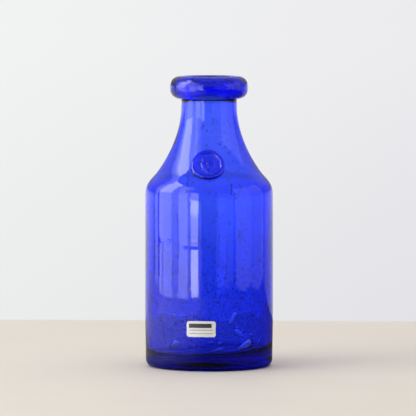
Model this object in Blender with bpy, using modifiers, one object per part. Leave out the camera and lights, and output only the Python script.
"""Mouth-blown bottle: a thick-based glass vessel with a laid-on lip, a stamped glass seal and a paper label.

The origin is the centre of the base on the surface that it stands on. +Z points up and the seal faces -Y.
"""

import math

import bpy
from mathutils import Matrix, Vector

MM = 0.001
FUSED_GAP = 0.3 * MM  # kept between two pieces that touch

# Vessel, outside
HEIGHT = 240 * MM
BODY_RADIUS = 53 * MM
BASE_RADIUS = 52.4 * MM  # the wall draws in a little above the base
DRAW_IN_TOP = 45 * MM
BASE_CORNER = 5.5 * MM
REST_OUTER = 46.9 * MM  # flat ring that the bottle stands on
REST_INNER = 43 * MM
KICK_UP = 5 * MM
BODY_TOP = 143.5 * MM  # where the straight wall ends and the shoulder starts
SHOULDER_LIFT = 9 * MM
SHOULDER_RUN = 4.4 * MM
FLARE_START = 161 * MM
FLARE_TOP = 216.6 * MM
NECK_RADIUS = 23 * MM
FLARE_RATE = 6.368  # radius gained per square of the distance below FLARE_TOP, per metre
NECK_END = 221 * MM

# Vessel, inside
BORE_RADIUS = 19.7 * MM
NECK_WALL = 3.3 * MM
BODY_WALL = 3.4 * MM
LOW_WALL = 4.2 * MM
FLOOR_TOP = 13 * MM
FLOOR_RISE = 1.5 * MM  # the inner floor follows the kick-up
FLOOR_BEND = 0.6  # share of the way out at which the floor starts to fall
INNER_CORNER = 9 * MM

# Lip
LIP_RADIUS = 32.4 * MM
LIP_INNER_ROUND = 2.4 * MM

# Seal
SEAL_RADIUS = 14 * MM
SEAL_HEIGHT = 167.5 * MM
SEAL_SIDE = -1 * MM
SEAL_PROUD = 3.6 * MM
SEAL_FIELD = 2.6 * MM
SEAL_BOSS_RADIUS = 7.5 * MM
SEAL_BOSS_BEND = 0.6  # share of the boss radius at which its top starts to fall
SEAL_BOSS_FALL = 0.3 * MM
SEAL_RIM_WIDTH = 3.4 * MM
SEAL_RIM_ROOT = 0.4 * MM  # how far the rim's root reaches into the field
SEAL_DEPTH = 6 * MM  # how far its blank reaches below the glass before it is cut to fit

# Label
LABEL_WIDTH = 24 * MM
LABEL_HEIGHT = 13 * MM
LABEL_CORNER = 2 * MM
LABEL_THICKNESS = 0.25 * MM
LABEL_CENTRE = 35.2 * MM
LABEL_SIDE = -6.6 * MM
LABEL_BAND = 2 * LABEL_HEIGHT  # height of the ring that the outline cuts the label from

# Facets
TURN_STEPS = 48
SEAL_STEPS = 40
LABEL_STEPS = 240
LABEL_CORNER_STEPS = 5
FLARE_STEPS, INNER_FLARE_STEPS = 9, 6
SHOULDER_STEPS, INNER_SHOULDER_STEPS = 6, 5
KICK_STEPS = 4
ARC_STEP = math.radians(18)
SAME_POINT = 0.02 * MM
MERGE_DISTANCE = 0.01 * MM

COBALT = (0.03, 0.06, 0.62)
LIP_BLUE = (0.03, 0.07, 0.66)
SEAL_BLUE = (0.04, 0.06, 0.60)
PAPER = (0.88, 0.87, 0.82)
POLISHED, STAMPED, PAPER_MATT = 0.02, 0.05, 0.6  # roughness


def clear_scene():
    for thing in list(bpy.data.objects):
        bpy.data.objects.remove(thing, do_unlink=True)


def make_collection(name):
    collection = bpy.data.collections.new(name)
    bpy.context.scene.collection.children.link(collection)
    return collection


def principled(name, colour, roughness, metallic=0.0, transmission=0.0):
    material = bpy.data.materials.new(name)
    material.use_nodes = True
    shader = material.node_tree.nodes["Principled BSDF"]
    shader.inputs["Base Color"].default_value = (*colour, 1)
    shader.inputs["Roughness"].default_value = roughness
    shader.inputs["Metallic"].default_value = metallic
    shader.inputs["Transmission Weight"].default_value = transmission
    return material


def arc(centre, radius, start, end):
    """Points of a round stretch in the (radius, height) plane, both ends included, angles in degrees."""
    first, last = math.radians(start), math.radians(end)
    count = max(2, math.ceil(abs(last - first) / ARC_STEP))
    turns = [first + (last - first) * i / count for i in range(count + 1)]
    return [(centre[0] + radius * math.cos(t), centre[1] + radius * math.sin(t)) for t in turns]


def bezier(a, b, c, d, count):
    """Points of a cubic curve from a to d, both ends included."""
    points = []
    for i in range(count + 1):
        t = i / count
        weights = ((1 - t) ** 3, 3 * t * (1 - t) ** 2, 3 * t * t * (1 - t), t**3)
        points.append(tuple(sum(w * p[k] for w, p in zip(weights, (a, b, c, d))) for k in (0, 1)))
    return points


def without_repeats(points):
    kept = [points[0]]
    for point in points[1:]:
        if math.dist(point, kept[-1]) > SAME_POINT:
            kept.append(point)
    return kept


def flare_radius(height):
    """Outer radius of the flare, which opens as a parabola below the neck."""
    return NECK_RADIUS + FLARE_RATE * max(FLARE_TOP - height, 0) ** 2


def side_profile():
    """The outer side from the end of the neck down to the top of the base corner."""
    flare = [NECK_END + (FLARE_START - NECK_END) * i / FLARE_STEPS for i in range(FLARE_STEPS + 1)]
    points = [(flare_radius(z), z) for z in flare]
    end = points[-1]
    points += bezier(
        end,
        (end[0] + SHOULDER_RUN, end[1] - SHOULDER_RUN),
        (BODY_RADIUS, BODY_TOP + SHOULDER_LIFT),
        (BODY_RADIUS, BODY_TOP),
        SHOULDER_STEPS,
    )
    points.append((BODY_RADIUS, (BODY_TOP + DRAW_IN_TOP) / 2))
    points.append((BODY_RADIUS, DRAW_IN_TOP))
    points.append((BASE_RADIUS, BASE_CORNER))
    return without_repeats(points)


def base_profile():
    """The base from its corner over the flat resting ring to the middle of the kick-up."""
    corner = arc((BASE_RADIUS - BASE_CORNER, BASE_CORNER), BASE_CORNER, 0, -90)
    corner[-1] = (REST_OUTER, 0)
    turns = [math.pi / 2 * i / KICK_STEPS for i in range(KICK_STEPS)]
    kick = [(REST_INNER * math.cos(t), KICK_UP * math.sin(t)) for t in turns]
    return corner + kick + [(0, KICK_UP)]


def inner_profile():
    """The inside from the middle of the floor up to the end of the neck."""
    low_radius = BASE_RADIUS - LOW_WALL
    corner_centre = (low_radius - INNER_CORNER, FLOOR_TOP + INNER_CORNER)
    bend = (corner_centre[0] * FLOOR_BEND, FLOOR_TOP + FLOOR_RISE * FLOOR_BEND)
    floor = [(0, FLOOR_TOP + FLOOR_RISE), bend]
    corner = arc(corner_centre, INNER_CORNER, -90, 0)
    body_radius = BODY_RADIUS - BODY_WALL
    wall = [(body_radius, DRAW_IN_TOP + INNER_CORNER), (body_radius, BODY_TOP - BODY_WALL)]
    shoulder_end = (flare_radius(FLARE_START) - NECK_WALL, FLARE_START - NECK_WALL)
    shoulder = bezier(
        wall[-1],
        (body_radius, BODY_TOP + SHOULDER_LIFT - 2 * BODY_WALL),
        (shoulder_end[0] + SHOULDER_RUN, shoulder_end[1] - SHOULDER_RUN),
        shoulder_end,
        INNER_SHOULDER_STEPS,
    )
    rises = [(FLARE_TOP - FLARE_START) * (i + 1) / INNER_FLARE_STEPS for i in range(INNER_FLARE_STEPS)]
    heights = [FLARE_START + rise for rise in rises]
    neck = [(max(flare_radius(z) - NECK_WALL, BORE_RADIUS), z) for z in heights]
    return without_repeats(floor + corner + wall + shoulder + neck + [(BORE_RADIUS, NECK_END)])


def turned(name, profile, steps, collection, closed=False):
    """An object turned about its own Z axis from (radius, height) points."""
    mesh = bpy.data.meshes.new(name)
    edges = [(i, i + 1) for i in range(len(profile) - 1)]
    if closed:
        edges.append((len(profile) - 1, 0))
    mesh.from_pydata([(r, 0, z) for r, z in profile], edges, [])
    piece = bpy.data.objects.new(name, mesh)
    collection.objects.link(piece)
    screw = piece.modifiers.new("Turn", "SCREW")
    screw.steps = screw.render_steps = steps
    screw.use_merge_vertices = True
    screw.merge_threshold = MERGE_DISTANCE
    screw.use_smooth_shade = True
    return piece


def make_cutter(piece):
    piece.hide_render = True
    piece.display_type = "WIRE"


def cut(piece, cutter, operation):
    boolean = piece.modifiers.new(operation.title(), "BOOLEAN")
    boolean.operation = operation
    boolean.solver = "EXACT"
    boolean.object = cutter


def make_bottle_body(parts):
    """The blown vessel: kicked-up base, wall, shoulder and neck in one gather of glass."""
    profile = inner_profile() + side_profile() + base_profile()
    body = turned("bottle_body", without_repeats(profile), TURN_STEPS, parts)
    body.data.materials.append(principled("cobalt_glass", COBALT, POLISHED, transmission=1.0))


def make_lip_ring(parts):
    """The thick collar of glass laid on the end of the neck and rolled round."""
    bottom = NECK_END + FUSED_GAP
    round_radius = (HEIGHT - bottom) / 2
    round_centre = (LIP_RADIUS - round_radius, bottom + round_radius)
    outer = arc(round_centre, round_radius, 90, -90)
    inner_centre = (BORE_RADIUS + LIP_INNER_ROUND, HEIGHT - LIP_INNER_ROUND)
    inner = arc(inner_centre, LIP_INNER_ROUND, 180, 90)
    section = [(BORE_RADIUS, bottom)] + inner + outer
    ring = turned("lip_ring", without_repeats(section), TURN_STEPS, parts, closed=True)
    ring.data.materials.append(principled("lip_glass", LIP_BLUE, POLISHED, transmission=1.0))


def make_seal_medallion(parts, cutters):
    """The gob of glass pressed on the flare with a round stamp, its back fitted to the flare."""
    rim_middle = SEAL_RADIUS - SEAL_RIM_WIDTH / 2
    rim_round = SEAL_RIM_WIDTH / 2
    rim = arc((rim_middle, SEAL_PROUD - rim_round), rim_round, 135, 0)
    boss = [(0, SEAL_PROUD), (SEAL_BOSS_RADIUS * SEAL_BOSS_BEND, SEAL_PROUD - SEAL_BOSS_FALL)]
    boss.append((SEAL_BOSS_RADIUS, SEAL_FIELD))
    field = [(SEAL_RADIUS - SEAL_RIM_WIDTH - SEAL_RIM_ROOT, SEAL_FIELD)]
    side = [(SEAL_RADIUS, -SEAL_DEPTH), (0, -SEAL_DEPTH)]
    seal = turned("seal_medallion", boss + field + rim + side, SEAL_STEPS, parts)

    slope = math.atan(2 * FLARE_RATE * (FLARE_TOP - SEAL_HEIGHT))
    centre = Vector((SEAL_SIDE, -flare_radius(SEAL_HEIGHT), SEAL_HEIGHT))
    face_out = Matrix.Rotation(math.pi / 2 - slope, 4, "X")
    seal.matrix_world = Matrix.Translation(centre) @ face_out

    side_line = [(r + FUSED_GAP, z) for r, z in side_profile()]
    above, below = (0, side_line[0][1]), (0, side_line[-1][1])
    core = [above] + side_line + [below]
    cutter = turned("vessel_cutter", core, TURN_STEPS, cutters)
    make_cutter(cutter)
    cut(seal, cutter, "DIFFERENCE")
    seal.data.materials.append(principled("seal_glass", SEAL_BLUE, STAMPED, transmission=1.0))


def make_paper_label(parts, cutters):
    """The gummed paper label, a thin sheet with round corners bent to the wall."""
    inner = BODY_RADIUS + FUSED_GAP
    outer = inner + LABEL_THICKNESS
    low, high = LABEL_CENTRE - LABEL_BAND / 2, LABEL_CENTRE + LABEL_BAND / 2
    band = [(inner, high), (outer, high), (outer, low), (inner, low)]
    label = turned("paper_label", band, LABEL_STEPS, parts, closed=True)

    bpy.ops.mesh.primitive_cube_add(size=1, location=(LABEL_SIDE, -BODY_RADIUS, LABEL_CENTRE))
    outline = bpy.context.object
    outline.name = "label_outline"
    outline.data.transform(Matrix.Diagonal((LABEL_WIDTH, BODY_RADIUS, LABEL_HEIGHT, 1)))
    corners = outline.data.attributes.new("bevel_weight_edge", "FLOAT", "EDGE")
    for edge in outline.data.edges:
        a, b = (outline.data.vertices[i].co for i in edge.vertices)
        corners.data[edge.index].value = float(abs(a.y - b.y) > abs(a.x - b.x) + abs(a.z - b.z))
    bevel = outline.modifiers.new("Corners", "BEVEL")
    bevel.limit_method = "WEIGHT"
    bevel.width = LABEL_CORNER
    bevel.segments = LABEL_CORNER_STEPS
    for collection in outline.users_collection:
        collection.objects.unlink(outline)
    cutters.objects.link(outline)
    make_cutter(outline)
    cut(label, outline, "INTERSECT")
    label.data.materials.append(principled("label_paper", PAPER, PAPER_MATT))


clear_scene()
parts = make_collection("blown_glass_bottle")
cutters = make_collection("cutters")
make_bottle_body(parts)
make_lip_ring(parts)
make_seal_medallion(parts, cutters)
make_paper_label(parts, cutters)
